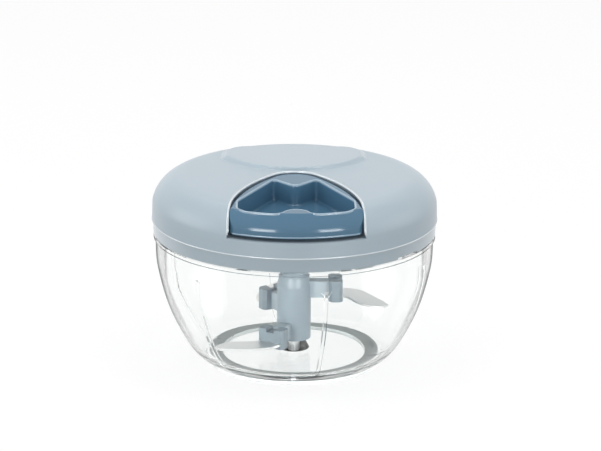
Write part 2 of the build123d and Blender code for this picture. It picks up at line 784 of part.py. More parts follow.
# The pull handle: the cup, with the knot's chamber and the cord's slot under its hub
with BuildPart() as pull_handle:
    with BuildSketch(Plane.XY.offset(handle_bottom)) as handle_plan:
        with BuildLine():
            front_corner = handle_sides(0)
            ThreePointArc((-front_corner[0], front_corner[1]), (0, front_y), front_corner)
        make_face()
        fillet(handle_plan.vertices().group_by(Axis.Y)[0], handle_corner)
    extrude(amount=handle_height + cut_overrun)
    split(bisect_by=top_plane, keep=Keep.BOTTOM)
    fillet(pull_handle.faces().sort_by(Axis.Z)[-1].edges(), handle_top_rounding)
    fillet(pull_handle.faces().sort_by(Axis.Z)[0].edges(), handle_bottom_rounding)
    add(handle_well.part, mode=Mode.INTERSECT)
    add(handle_nose.part, mode=Mode.INTERSECT)
    with BuildSketch(Plane.XY.offset(handle_bottom - cut_overrun)):
        with Locations((0, knot_y)):
            Circle(knot_chamber_radius)
    extrude(amount=knot_chamber_top - handle_bottom + cut_overrun, mode=Mode.SUBTRACT)
    with BuildSketch(Plane.XY.offset(handle_bottom - cut_overrun)):
        with Locations((0, knot_y)):
            Rectangle(2 * cord_slot_half, apex_y - knot_y + cut_overrun, align=(Align.CENTER, Align.MIN))
    extrude(amount=cord_height + cord_slot_half - handle_bottom + cut_overrun, mode=Mode.SUBTRACT)
pull_handle.part.label = "pull_handle"
export_step(pull_handle.part, "parts/pull_handle.step")

# The knot that holds the cord in the hub
knot_seat = sqrt(knot_radius**2 - cord_radius**2)
with BuildPart() as cord_knot:
    with Locations((0, knot_y, cord_height)):
        Sphere(knot_radius)
    split(bisect_by=Plane.XZ.offset(-knot_y - knot_seat), keep=Keep.TOP)
cord_knot.part.label = "cord_knot"
export_step(cord_knot.part, "parts/cord_knot.step")

# The stretch of cord between the eyelet and the knot
with BuildPart() as cord_run:
    with BuildSketch(Plane.XZ.offset(-eyelet_front)):
        with Locations((0, cord_height)):
            Circle(cord_radius)
    extrude(amount=eyelet_front - knot_y - knot_seat)
cord_run.part.label = "cord_run"
export_step(cord_run.part, "parts/cord_run.step")

# The stretch of cord between the reel and the eyelet, tangent to the winding
with BuildPart() as cord_lead:
    with BuildSketch(Plane.XZ.offset(-reel_y)):
        with Locations((0, cord_height)):
            Circle(cord_radius)
    extrude(amount=reel_y - eyelet_front)
cord_lead.part.label = "cord_lead"
export_step(cord_lead.part, "parts/cord_lead.step")

# The cord wound on the reel
winding_plane = Plane(origin=(reel_x, reel_y, cord_height - winding_height))
with BuildPart() as cord_winding:
    with BuildLine(winding_plane) as winding_route:
        Helix(pitch=cord_pitch, height=winding_height, radius=winding_radius)
    with BuildSketch(Plane(origin=winding_route.line @ 0, z_dir=winding_route.line % 0)):
        Circle(cord_radius)
    sweep(is_frenet=True)
cord_winding.part.label = "cord_winding"
export_step(cord_winding.part, "parts/cord_winding.step")
route_points = [winding_route.line @ (step / winding_steps) for step in range(winding_steps + 1)]
turn_steps = round(winding_steps / cord_turns)
least_gap = min(
    (route_points[first] - route_points[second]).length - 2 * cord_radius
    for first in range(winding_steps + 1)
    for second in range(first + turn_steps // 2, winding_steps + 1)
)
print("least gap of the winding to itself", round(least_gap, 2))

# The eyelet in the pocket's wall
with BuildPart() as cord_eyelet:
    with BuildSketch(Plane.XZ.offset(-eyelet_boss_back - eyelet_flange)):
        with Locations((0, cord_height)):
            Circle(eyelet_flange_radius)
    extrude(amount=eyelet_flange)
    with BuildSketch(Plane.XZ.offset(-eyelet_boss_back)):
        with Locations((0, cord_height)):
            Circle(eyelet_radius)
    extrude(amount=eyelet_boss_back - eyelet_front)
    with BuildSketch(Plane.XZ.offset(-eyelet_boss_back - eyelet_flange)):
        with Locations((0, cord_height)):
            Circle(cord_bore)
    extrude(amount=eyelet_boss_back + eyelet_flange - eyelet_front, mode=Mode.SUBTRACT)
    mouths = cord_eyelet.edges().filter_by(GeomType.CIRCLE).group_by(SortBy.RADIUS)[0]
    fillet(mouths, eyelet_flange / 2)
cord_eyelet.part.label = "cord_eyelet"
export_step(cord_eyelet.part, "parts/cord_eyelet.step")

# The reel: drum with two flanges, open at the top for the spring, keyed to the gear below it
reel_plane = Plane(origin=(reel_x, reel_y, 0), x_dir=(1, 0, 0), z_dir=(0, -1, 0))
reel_axis = Axis((reel_x, reel_y, 0), (0, 0, 1))
drum_radius = winding_radius - cord_radius - press_clearance
barrel_radius = drum_radius - drum_wall
bore_radius = axle_radius + running_clearance
with BuildPart() as cord_reel:
    with BuildSketch(reel_plane):
        Polygon(
            (bore_radius, reel_bottom),
            (reel_flange_radius, reel_bottom),
            (reel_flange_radius, reel_bottom + reel_flange),
            (drum_radius, reel_bottom + reel_flange),
            (drum_radius, reel_top - reel_flange),
            (reel_flange_radius, reel_top - reel_flange),
            (reel_flange_radius, reel_top),
            (barrel_radius, reel_top),
            (barrel_radius, reel_bottom + reel_floor),
            (bore_radius, reel_bottom + reel_floor),
            align=None,
        )
    revolve(axis=reel_axis)
    with BuildSketch(Plane.XY.offset(reel_bottom - cut_overrun)):
        with Locations((reel_x, reel_y)):
            RegularPolygon(gear_key_across / 2 + press_clearance, hexagon_sides, major_radius=False)
    extrude(amount=gear_key_height + press_clearance + cut_overrun, mode=Mode.SUBTRACT)
cord_reel.part.label = "cord_reel"
export_step(cord_reel.part, "parts/cord_reel.step")

# The disc that keeps the spring in the drum
with BuildPart() as spring_cover:
    with BuildSketch(Plane.XY.offset(reel_top - spring_cover_thickness)):
        with Locations((reel_x, reel_y)):
            Circle(barrel_radius - press_clearance)
            Circle(arbor_radius + running_gap, mode=Mode.SUBTRACT)
    extrude(amount=spring_cover_thickness)
spring_cover.part.label = "spring_cover"
export_step(spring_cover.part, "parts/spring_cover.step")

# The flat spiral spring in the drum: half-turn arcs, each half a pitch wider than the one before
spring_bottom = reel_bottom + reel_floor + spring_gap
spring_top = reel_top - spring_cover_thickness - spring_gap
spring_step = spring_pitch / 2
spring_half_turns = int((barrel_radius - spring_inner_radius - spring_thickness) / spring_step)
with BuildPart() as power_spring:
    with BuildSketch(Plane(origin=(reel_x, reel_y, spring_bottom))):
        with BuildLine():
            for side in (0, spring_thickness):
                for half_turn in range(spring_half_turns):
                    radius = spring_inner_radius + spring_step * half_turn + side
                    centre = spring_step * (half_turn % 2)
                    CenterArc((centre, 0), radius, 180 * (half_turn % 2), 180)
            last_side = -1 if spring_half_turns % 2 else 1
            last_radius = spring_inner_radius + spring_step * (spring_half_turns - 1)
            last_x = spring_step * ((spring_half_turns - 1) % 2) + last_side * last_radius
            Line((spring_inner_radius, 0), (spring_inner_radius + spring_thickness, 0))
            Line((last_x, 0), (last_x + last_side * spring_thickness, 0))
        make_face()
    extrude(amount=spring_top - spring_bottom)
power_spring.part.label = "power_spring"
export_step(power_spring.part, "parts/power_spring.step")

# The steel axle of the reel, held in the base and in the cover's arbor
with BuildPart() as reel_axle:
    with BuildSketch(Plane.XY.offset(base_under)):
        with Locations((reel_x, reel_y)):
            Circle(axle_radius)
    extrude(amount=reel_top - base_under)
    chamfer(reel_axle.edges().filter_by(GeomType.CIRCLE), running_gap)
reel_axle.part.label = "reel_axle"
export_step(reel_axle.part, "parts/reel_axle.step")

with BuildPart() as reel_washer:
    with BuildSketch(Plane.XY.offset(gear_bottom - washer_thickness - running_gap / 2)):
        with Locations((reel_x, reel_y)):
            Circle(washer_radius)
            Circle(bore_radius, mode=Mode.SUBTRACT)
    extrude(amount=washer_thickness)
reel_washer.part.label = "reel_washer"
export_step(reel_washer.part, "parts/reel_washer.step")

# The reel's gear, with a gap between teeth on the line of centres, and its hexagonal key
gear_turn = reel_angle + 180 + 180 / gear_teeth
with BuildPart() as reel_gear:
    with BuildSketch(Plane(origin=(reel_x, reel_y, gear_bottom))):
        with BuildLine():
            Polyline(*gear_outline(gear_teeth, gear_turn), close=True)
        make_face()
    extrude(amount=gear_top - gear_bottom)
    web_radius = tooth_size * (gear_teeth / 2 - dedendum_share) - gear_rim_wall
    for recess_bottom in (gear_bottom - cut_overrun, gear_top - gear_web_sink):
        with BuildSketch(Plane(origin=(reel_x, reel_y, recess_bottom))):
            Circle(web_radius)
            Circle(gear_hub_radius, mode=Mode.SUBTRACT)
        extrude(amount=gear_web_sink + cut_overrun, mode=Mode.SUBTRACT)
    with BuildSketch(Plane(origin=(reel_x, reel_y, gear_top))):
        RegularPolygon(gear_key_across / 2, hexagon_sides, major_radius=False)
    extrude(amount=reel_bottom - gear_top + gear_key_height)
    with BuildSketch(Plane(origin=(reel_x, reel_y, gear_bottom - cut_overrun))):
        Circle(bore_radius)
    extrude(amount=reel_top - gear_bottom, mode=Mode.SUBTRACT)
reel_gear.part.label = "reel_gear"
export_step(reel_gear.part, "parts/reel_gear.step")

# The pinion on the bowl's axis, with a tooth on the line of centres, its journal and hexagonal stub
with BuildPart() as drive_pinion:
    with BuildSketch(Plane.XY.offset(pinion_bottom)):
        with BuildLine():
            Polyline(*gear_outline(pinion_teeth, reel_angle), close=True)
        make_face()
    extrude(amount=pinion_top - pinion_bottom)
    with BuildSketch(Plane.XY.offset(pinion_top)):
        Circle(pilot_radius)
    extrude(amount=pilot_height)
    collar_bottom = base_floor_top + bush_flange + running_gap
    with BuildSketch(Plane.XY.offset(collar_bottom)):
        Circle(pinion_collar_radius)
    extrude(amount=pinion_bottom - collar_bottom)
    with BuildSketch(Plane.XY.offset(journal_bottom)):
        Circle(journal_radius)
    extrude(amount=collar_bottom - journal_bottom)
    with BuildSketch(Plane.XY.offset(journal_bottom - stub_length)):
        RegularPolygon(stub_across / 2, hexagon_sides, major_radius=False)
    extrude(amount=stub_length)
    with BuildSketch(Plane.XY.offset(journal_bottom - stub_length - cut_overrun)):
        Circle(drive_screw_radius + press_clearance)
    extrude(amount=drive_screw_length + cut_overrun, mode=Mode.SUBTRACT)
drive_pinion.part.label = "drive_pinion"
export_step(drive_pinion.part, "parts/drive_pinion.step")

# The flanged bush of the pinion in the lid base
with BuildPart() as drive_bush:
    with BuildSketch(Plane.XY.offset(bearing_boss_bottom)):
        Circle(bush_outer_radius)
    extrude(amount=base_floor_top - bearing_boss_bottom)
    with BuildSketch(Plane.XY.offset(base_floor_top)):
        Circle(bush_flange_radius)
    extrude(amount=bush_flange)
    with BuildSketch(Plane.XY.offset(bearing_boss_bottom - cut_overrun)):
        Circle(journal_radius + running_clearance)
    extrude(amount=base_floor_top + bush_flange - bearing_boss_bottom + 2 * cut_overrun, mode=Mode.SUBTRACT)
drive_bush.part.label = "drive_bush"
export_step(drive_bush.part, "parts/drive_bush.step")

# The drive socket under the lid, screwed to the pinion's stub
with BuildPart() as drive_socket:
    with BuildSketch(Plane.XY.offset(socket_bottom)):
        Circle(socket_radius)
    extrude(amount=socket_top - socket_bottom)
    with BuildSketch(Plane.XY.offset(socket_top - socket_flange)):
        Circle(socket_flange_radius)
    extrude(amount=socket_flange)
    with BuildSketch(Plane.XY.offset(web_top)):
        RegularPolygon(stub_across / 2 + press_clearance, hexagon_sides, major_radius=False)
    extrude(amount=socket_top - web_top + cut_overrun, mode=Mode.SUBTRACT)
    with BuildSketch(Plane.XY.offset(socket_bottom - cut_overrun)):
        RegularPolygon(key_across / 2 + running_gap, hexagon_sides, major_radius=False)
    extrude(amount=web_bottom - socket_bottom + cut_overrun, mode=Mode.SUBTRACT)
    with BuildSketch(Plane.XY.offset(socket_bottom)):
        Circle(drive_screw_radius + running_clearance)
    extrude(amount=socket_top - socket_bottom, mode=Mode.SUBTRACT)
    with BuildSketch(Plane.XY.offset(web_bottom - cut_overrun)):
        Circle(drive_screw_head_radius + running_clearance)
    extrude(amount=drive_screw_head + cut_overrun, mode=Mode.SUBTRACT)
    chamfer(drive_socket.faces().sort_by(Axis.Z)[0].outer_wire().edges(), key_chamfer)
drive_socket.part.label = "drive_socket"
export_step(drive_socket.part, "parts/drive_socket.step")

with BuildPart() as drive_screw:
    with BuildSketch(Plane.XY.offset(web_bottom)):
        Circle(drive_screw_head_radius)
    extrude(amount=drive_screw_head)
    with BuildSketch(Plane.XY.offset(web_bottom + drive_screw_head)):
        Circle(drive_screw_radius)
    extrude(amount=drive_screw_length)
drive_screw.part.label = "drive_screw"
export_step(drive_screw.part, "parts/drive_screw.step")

# The four screws that join the lid's base and cover
with BuildPart() as lid_screws:
    with BuildSketch(Plane.XY.offset(base_under)):
        with Locations(screw_places):
            Circle(screw_head_radius)
    extrude(amount=screw_head_height)
    with BuildSketch(Plane.XY.offset(base_under + screw_head_height)):
        with Locations(screw_places):
            Circle(screw_radius)
    extrude(amount=screw_length - screw_head_height)
lid_screws.part.label = "lid_screws"
export_step(lid_screws.part, "parts/lid_screws.step")

# The blade unit's column, arms and hexagonal key
with BuildPart() as blade_shaft:
    with BuildSketch(Plane.XZ):
        Polygon(
            (0, column_bottom),
            (column_radius, column_bottom),
            (column_radius, column_top),
            (neck_radius, neck_bottom),
            (neck_radius, neck_top),
            (0, neck_top),
            align=None,
        )
    revolve(axis=Axis.Z)
    for ring in range(neck_rings):
        with BuildSketch(Plane.XY.offset(neck_bottom + ring * neck_ring_spacing)):
            Circle(neck_radius + neck_ring)
        extrude(amount=neck_ring)
    with BuildSketch(Plane.XY.offset(neck_top)):
        RegularPolygon(key_across / 2, hexagon_sides, major_radius=False)
    extrude(amount=key_top - neck_top)
    chamfer(blade_shaft.faces().sort_by(Axis.Z)[-1].edges(), key_chamfer)
    for height, angle in zip(blade_heights, arm_angles):
        arm_plane = Plane.XY.offset(height - arm_drop).rotated((0, 0, angle))
        with BuildSketch(arm_plane):
            Rectangle(clamp_inner, arm_width, align=(Align.MIN, Align.CENTER))
        extrude(amount=arm_height)
        with BuildSketch(arm_plane.offset(arm_drop + tongue_rise)):
            Rectangle(clamp_inner + tongue_length, tongue_width, align=(Align.MIN, Align.CENTER))
        extrude(amount=tongue_height)
    with BuildSketch(Plane.XY.offset(column_bottom - cut_overrun)):
        Circle(pin_radius + running_clearance)
    extrude(amount=pin_top + running_gap - column_bottom + cut_overrun, mode=Mode.SUBTRACT)
blade_shaft.part.label = "blade_shaft"
export_step(blade_shaft.part, "parts/blade_shaft.step")

# The clamps at the arms' ends: slotted for the blade, with a mortise for the arm's tongue
with BuildPart() as blade_clamps:
    for height, angle in zip(blade_heights, arm_angles):
        clamp_plane = Plane.XY.offset(height).rotated((0, 0, angle))
        with BuildSketch(clamp_plane.offset(-clamp_bottom_drop)) as clamp_plan:
            with Locations((clamp_inner, 0)):
                Rectangle(clamp_length, 2 * clamp_half_width, align=(Align.MIN, Align.CENTER))
            chamfer(clamp_plan.vertices(), clamp_chamfer)
        extrude(amount=clamp_bottom_drop + clamp_top_rise)
        with BuildSketch(clamp_plane.offset(clamp_top_rise - clamp_notch_depth)):
            with Locations((clamp_inner, 0)):
                Rectangle(2 * clamp_outer, 2 * clamp_notch_half)
        extrude(amount=clamp_notch_depth + cut_overrun, mode=Mode.SUBTRACT)
        with BuildSketch(clamp_plane.offset(-blade_thickness / 2 - press_clearance)):
            with Locations((blade_root - press_clearance, 0)):
                Rectangle(
                    clamp_length, 2 * blade_root_half + 2 * press_clearance, align=(Align.MIN, Align.CENTER)
                )
        extrude(amount=blade_thickness + 2 * press_clearance, mode=Mode.SUBTRACT)
        with BuildSketch(clamp_plane.offset(tongue_rise - press_clearance)):
            with Locations((clamp_inner - cut_overrun, 0)):
                Rectangle(
                    tongue_length + cut_overrun + press_clearance,
                    tongue_width + 2 * press_clearance,
                    align=(Align.MIN, Align.CENTER),
                )
        extrude(amount=tongue_height + 2 * press_clearance, mode=Mode.SUBTRACT)
        with BuildSketch(clamp_plane.offset(-clamp_bottom_drop - cut_overrun)):
            with Locations((rivet_x, rivet_y), (rivet_x, -rivet_y)):
                Circle(rivet_radius + press_clearance)
        extrude(amount=2 * clamp_bottom_drop + cut_overrun, mode=Mode.SUBTRACT)
blade_clamps.part.label = "blade_clamps"
export_step(blade_clamps.part, "parts/blade_clamps.step")

# The rivets that hold the blades in their clamps
with BuildPart() as blade_rivets:
    for height, angle in zip(blade_heights, arm_angles):
        rivet_plane = Plane.XY.offset(height).rotated((0, 0, angle))
        with BuildSketch(rivet_plane.offset(-clamp_bottom_drop - rivet_head)):
            with Locations((rivet_x, rivet_y), (rivet_x, -rivet_y)):
                Circle(rivet_head_radius)
        extrude(amount=rivet_head)
        with BuildSketch(rivet_plane.offset(-clamp_bottom_drop)):
            with Locations((rivet_x, rivet_y), (rivet_x, -rivet_y)):
                Circle(rivet_radius)
        extrude(amount=2 * clamp_bottom_drop)
blade_rivets.part.label = "blade_rivets"
export_step(blade_rivets.part, "parts/blade_rivets.step")

# The three steel blades, each a flat sickle held level in its clamp
blade_length = blade_tip_x - clamp_outer
blade_drop = -blade_tip_y
blade_names = ("upper_blade", "middle_blade", "lower_blade")


def blade_point(shares, reach):
    return (clamp_outer + blade_length * reach * shares[0], blade_drop * reach * shares[1])


for name, height, angle, reach in zip(blade_names, blade_heights, arm_angles, blade_reach_shares):
    blade_plane = Plane.XY.offset(height - blade_thickness / 2).rotated((0, 0, angle))
    with BuildPart() as blade:
        with BuildSketch(blade_plane):
            with BuildLine():
                tip = blade_point((1, -1), reach)
                nose = blade_point(blade_nose_share, reach)
                lead = [blade_point(shares, reach) for shares in blade_lead_shares]
                trail = [blade_point(shares, reach) for shares in blade_trail_shares]
                Line((blade_root, -blade_root_half), (blade_root, blade_root_half))
                Line((blade_root, blade_root_half), (clamp_outer, blade_root_half))
                Spline((clamp_outer, blade_root_half), *lead, tip, tangents=((1, 0), blade_tip_slope))
                Line(tip, nose)
                heel = (clamp_outer, -blade_root_half)
                Spline(nose, *trail, heel, tangents=(blade_nose_slope, blade_heel_slope))
                Line(heel, (blade_root, -blade_root_half))
            make_face()
        extrude(amount=blade_thickness)
        top_face = blade.faces().sort_by(Axis.Z)[-1]
        outer_edge = top_face.edges().filter_by(GeomType.BSPLINE).sort_by(SortBy.LENGTH)[-1]
        chamfer(outer_edge, blade_edge_height, blade_edge_width, reference=top_face)
        with BuildSketch(blade_plane.offset(-cut_overrun)):
            with Locations((rivet_x, rivet_y), (rivet_x, -rivet_y)):
                Circle(rivet_radius + press_clearance)
        extrude(amount=blade_thickness + 2 * cut_overrun, mode=Mode.SUBTRACT)
    blade.part.label = name
    export_step(blade.part, f"parts/{name}.step")
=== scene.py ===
"""Looks of a hand food chopper with a pull cord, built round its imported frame."""

import json
import math
from bisect import bisect

import bmesh
import bpy
from mathutils import Matrix, Vector
from mathutils.bvhtree import BVHTree


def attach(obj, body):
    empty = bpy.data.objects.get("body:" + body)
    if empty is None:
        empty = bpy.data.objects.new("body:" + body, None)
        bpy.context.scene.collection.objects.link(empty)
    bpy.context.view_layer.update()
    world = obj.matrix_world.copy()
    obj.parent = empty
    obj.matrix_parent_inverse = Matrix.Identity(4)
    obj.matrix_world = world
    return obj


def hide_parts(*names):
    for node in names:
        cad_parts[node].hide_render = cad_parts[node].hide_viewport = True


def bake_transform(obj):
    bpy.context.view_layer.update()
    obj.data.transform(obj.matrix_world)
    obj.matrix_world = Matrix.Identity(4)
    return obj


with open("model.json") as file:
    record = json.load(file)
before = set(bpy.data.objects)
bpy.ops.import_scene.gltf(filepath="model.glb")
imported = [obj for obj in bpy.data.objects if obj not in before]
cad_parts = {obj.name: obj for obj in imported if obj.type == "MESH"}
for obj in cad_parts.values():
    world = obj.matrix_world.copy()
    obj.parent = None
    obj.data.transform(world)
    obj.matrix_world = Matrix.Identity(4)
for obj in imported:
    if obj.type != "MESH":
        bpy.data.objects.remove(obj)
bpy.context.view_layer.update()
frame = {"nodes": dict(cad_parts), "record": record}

MM = 0.001
slot_of = {entry["node"]: entry["material_slot"] for entry in frame["record"]["subparts"]}

# The view of the photograph
camera_elevation = 17.1
camera_azimuth = -1.0
camera_distance = 1200 * MM
camera_aim = Vector((2.76 * MM, 0, 62.6 * MM))
camera_roll = 0.42
camera_lens = 157.3
camera_sensor = 36.0
camera_reach = 20.0


def place_camera():
    data = bpy.data.cameras.new("camera")
    data.lens = camera_lens
    data.sensor_width = camera_sensor
    data.clip_end = camera_reach
    camera = bpy.data.objects.new("camera", data)
    bpy.context.scene.collection.objects.link(camera)
    rise = math.radians(camera_elevation)
    turn = math.radians(camera_azimuth)
    level = camera_distance * math.cos(rise)
    height = camera_distance * math.sin(rise)
    place = camera_aim + Vector((level * math.sin(turn), -level * math.cos(turn), height))
    aim = (camera_aim - place).to_track_quat("-Z", "Y").to_matrix()
    tilt = Matrix.Rotation(math.radians(camera_roll), 3, "Z")
    camera.matrix_world = Matrix.Translation(place) @ (aim @ tilt).to_4x4()
    bpy.context.scene.camera = camera


# Shader helpers


def node(tree, kind, **values):
    made = tree.nodes.new(kind)
    for name, value in values.items():
        setattr(made, name, value)
    return made


def link(tree, source, target):
    tree.links.new(source, target)


def group_tree(name, inputs, outputs):
    """An empty shader group with its sockets, and its two end nodes."""
    tree = bpy.data.node_groups.new(name, "ShaderNodeTree")
    for label, kind, value in inputs:
        socket = tree.interface.new_socket(label, in_out="INPUT", socket_type=kind)
        socket.default_value = value
    for label, kind in outputs:
        tree.interface.new_socket(label, in_out="OUTPUT", socket_type=kind)
    return tree, tree.nodes.new("NodeGroupInput"), tree.nodes.new("NodeGroupOutput")


def math_node(tree, operation, first, second):
    made = node(tree, "ShaderNodeMath", operation=operation)
    for socket, value in zip(made.inputs, (first, second)):
        if hasattr(value, "is_output"):
            link(tree, value, socket)
        else:
            socket.default_value = value
    return made.outputs[0]


def noise(tree, vector, scale, detail=3.0, roughness=0.5):
    made = node(tree, "ShaderNodeTexNoise")
    made.inputs["Detail"].default_value = detail
    made.inputs["Roughness"].default_value = roughness
    if hasattr(scale, "is_output"):
        link(tree, scale, made.inputs["Scale"])
    else:
        made.inputs["Scale"].default_value = scale
    link(tree, vector, made.inputs["Vector"])
    return made.outputs["Fac"]


def ramp(tree, value, low, high):
    """Maps value from low..high to 0..1, clamped."""
    made = node(tree, "ShaderNodeMapRange", clamp=True)
    made.inputs["From Min"].default_value = low
    made.inputs["From Max"].default_value = high
    link(tree, value, made.inputs["Value"])
    return made.outputs["Result"]


def object_place(tree):
    """The object coordinates' three parts."""
    place = node(tree, "ShaderNodeSeparateXYZ")
    link(tree, node(tree, "ShaderNodeTexCoord").outputs["Object"], place.inputs["Vector"])
    return place.outputs


def seen_rays(tree):
    """1 for camera rays, reflections and rays through clear plastic, 0 for diffuse light."""
    path = node(tree, "ShaderNodeLightPath")
    seen = math_node(tree, "MAXIMUM", path.outputs["Is Camera Ray"], path.outputs["Is Glossy Ray"])
    return math_node(tree, "MAXIMUM", seen, path.outputs["Is Transmission Ray"])


def scaled(tree, value, factor, offset):
    """value * factor + offset"""
    return math_node(tree, "ADD", math_node(tree, "MULTIPLY", value, factor), offset)


flow_scale = 38.0
flow_tone = 0.04
hair_stretch = (90, 1400, 900)
hair_turn = (0.2, 0.1, 0.6)
hair_band = (0.58, 0.72)
rub_band = (0.45, 0.65)
rub_patch_scale = 60.0
gloss_patch_scale = 95.0
gloss_patch_share = 0.05
skin_scale = 1800.0
streak_tone = 0.16
streak_gloss = 0.18
bump_depth = 0.1 * MM
coat_roughness = 0.06


def moulded_group():
    """Moulded plastic: faint flow tones, a fine skin and hairline rubs where hands slide."""
    tree, start, end = group_tree(
        "moulded_skin",
        [
            ("Color", "NodeSocketColor", (0.5, 0.5, 0.5, 1)),
            ("Tone", "NodeSocketFloat", flow_tone),
            ("Gloss", "NodeSocketFloat", 0.2),
            ("Rubs", "NodeSocketFloat", 0.06),
            ("Skin Scale", "NodeSocketFloat", skin_scale),
        ],
        [("Color", "NodeSocketColor"), ("Roughness", "NodeSocketFloat"), ("Height", "NodeSocketFloat")],
    )
    coordinates = node(tree, "ShaderNodeTexCoord").outputs["Object"]
    flow = noise(tree, coordinates, flow_scale, 2.0)
    tone = math_node(tree, "MULTIPLY", math_node(tree, "SUBTRACT", flow, 0.5), start.outputs["Tone"])
    value = math_node(tree, "ADD", tone, 1.0)
    shade = node(tree, "ShaderNodeHueSaturation")
    link(tree, start.outputs["Color"], shade.inputs["Color"])
    link(tree, value, shade.inputs["Value"])
    stretch = node(tree, "ShaderNodeMapping")
    stretch.inputs["Scale"].default_value = hair_stretch
    stretch.inputs["Rotation"].default_value = hair_turn
    link(tree, coordinates, stretch.inputs["Vector"])
    hair = ramp(tree, noise(tree, stretch.outputs["Vector"], 1.0, 4.0, 0.7), *hair_band)
    where = ramp(tree, noise(tree, coordinates, rub_patch_scale, 2.0), *rub_band)
    rub = math_node(tree, "MULTIPLY", math_node(tree, "MULTIPLY", hair, where), start.outputs["Rubs"])
    patch = math_node(tree, "MULTIPLY", noise(tree, coordinates, gloss_patch_scale, 3.0), gloss_patch_share)
    rough = math_node(tree, "ADD", math_node(tree, "ADD", start.outputs["Gloss"], patch), rub)
    skin = noise(tree, coordinates, start.outputs["Skin Scale"], 2.0)
    height = math_node(tree, "SUBTRACT", skin, math_node(tree, "MULTIPLY", hair, start.outputs["Rubs"]))
    link(tree, shade.outputs["Color"], end.inputs["Color"])
    link(tree, rough, end.inputs["Roughness"])
    link(tree, height, end.inputs["Height"])
    return tree


def brushed_group():
    """Rolled or turned metal: fine streaks along one axis, with a little change of tone."""
    tree, start, end = group_tree(
        "brushed_metal",
        [
            ("Color", "NodeSocketColor", (0.7, 0.7, 0.7, 1)),
            ("Streak X", "NodeSocketFloat", 60.0),
            ("Streak Y", "NodeSocketFloat", 2400.0),
            ("Gloss", "NodeSocketFloat", 0.25),
        ],
        [("Color", "NodeSocketColor"), ("Roughness", "NodeSocketFloat"), ("Height", "NodeSocketFloat")],
    )
    coordinates = node(tree, "ShaderNodeTexCoord").outputs["Object"]
    scale = node(tree, "ShaderNodeCombineXYZ")
    link(tree, start.outputs["Streak X"], scale.inputs["X"])
    link(tree, start.outputs["Streak Y"], scale.inputs["Y"])
    link(tree, start.outputs["Streak Y"], scale.inputs["Z"])
    stretched = node(tree, "ShaderNodeVectorMath", operation="MULTIPLY")
    link(tree, coordinates, stretched.inputs[0])
    link(tree, scale.outputs["Vector"], stretched.inputs[1])
    streaks = noise(tree, stretched.outputs["Vector"], 1.0, 4.0, 0.6)
    shade = node(tree, "ShaderNodeHueSaturation")
    link(tree, start.outputs["Color"], shade.inputs["Color"])
    link(tree, scaled(tree, streaks, streak_tone, 1 - streak_tone / 2), shade.inputs["Value"])
    rough = math_node(tree, "ADD", start.outputs["Gloss"], math_node(tree, "MULTIPLY", streaks, streak_gloss))
    link(tree, shade.outputs["Color"], end.inputs["Color"])
    link(tree, rough, end.inputs["Roughness"])
    link(tree, streaks, end.inputs["Height"])
    return tree


moulded = moulded_group()
brushed = brushed_group()


def new_material(name):
    material = bpy.data.materials.new(name)
    material.use_nodes = True
    tree = material.node_tree
    return material, tree, tree.nodes["Principled BSDF"]


def dress(tree, shader, group, bump, **values):
    """Puts a group into a material, sets its values and joins it to the shader through a bump."""
    skin = node(tree, "ShaderNodeGroup", node_tree=group)
    for name, value in values.items():
        skin.inputs[name.replace("_", " ")].default_value = value
    relief = node(tree, "ShaderNodeBump")
    relief.inputs["Strength"].default_value = bump
    relief.inputs["Distance"].default_value = bump_depth
    link(tree, skin.outputs["Color"], shader.inputs["Base Color"])
    link(tree, skin.outputs["Roughness"], shader.inputs["Roughness"])
    link(tree, skin.outputs["Height"], relief.inputs["Height"])
    link(tree, relief.outputs["Normal"], shader.inputs["Normal"])


def blend_color(tree, shader, factor, color):
    """Mixes one more colour over what feeds the shader's base colour."""
    mix = node(tree, "ShaderNodeMix", data_type="RGBA")
    link(tree, shader.inputs["Base Color"].links[0].from_socket, mix.inputs["A"])
    mix.inputs["B"].default_value = (*color, 1)
    link(tree, factor, mix.inputs["Factor"])
    link(tree, mix.outputs["Result"], shader.inputs["Base Color"])


def plastic(name, color, gloss, coat=0.0, rubs=0.06, bump=0.12, specular=0.5):
    material, tree, shader = new_material(name)
    shader.inputs["Specular IOR Level"].default_value = specular
    shader.inputs["Coat Weight"].default_value = coat
    shader.inputs["Coat Roughness"].default_value = coat_roughness
    dress(tree, shader, moulded, bump, Color=(*color, 1), Gloss=gloss, Rubs=rubs)
    return material


polish_heights = (87.35 * MM, 87.5 * MM)
polish_share = 0.16
# painted sheen: the facing range over which the lid's colour is paled towards its outline
sheen_facing = (0.35, 0.97)


def lid_plastic(name, color, gloss, rim, sheen_share, fall):
    """Satin lid plastic with a painted sheen that pales its colour towards its outline, where the white
    studio would show in grazing reflections, and a polished raised plate.
    """
    material = plastic(name, color, gloss)
    tree = material.node_tree
    shader = tree.nodes["Principled BSDF"]
    facing = node(tree, "ShaderNodeLayerWeight").outputs["Facing"]
    sheen_mask = math_node(tree, "POWER", ramp(tree, facing, *sheen_facing), fall)
    blend_color(tree, shader, math_node(tree, "MULTIPLY", sheen_mask, sheen_share), rim)
    polish = math_node(tree, "MULTIPLY", ramp(tree, object_place(tree)["Z"], *polish_heights), polish_share)
    rough = math_node(tree, "SUBTRACT", shader.inputs["Roughness"].links[0].from_socket, polish)
    link(tree, rough, shader.inputs["Roughness"])
    return material


# painted light: the reach from the axis over which the arms are lightened
arm_reach = (8.8 * MM, 10.5 * MM)


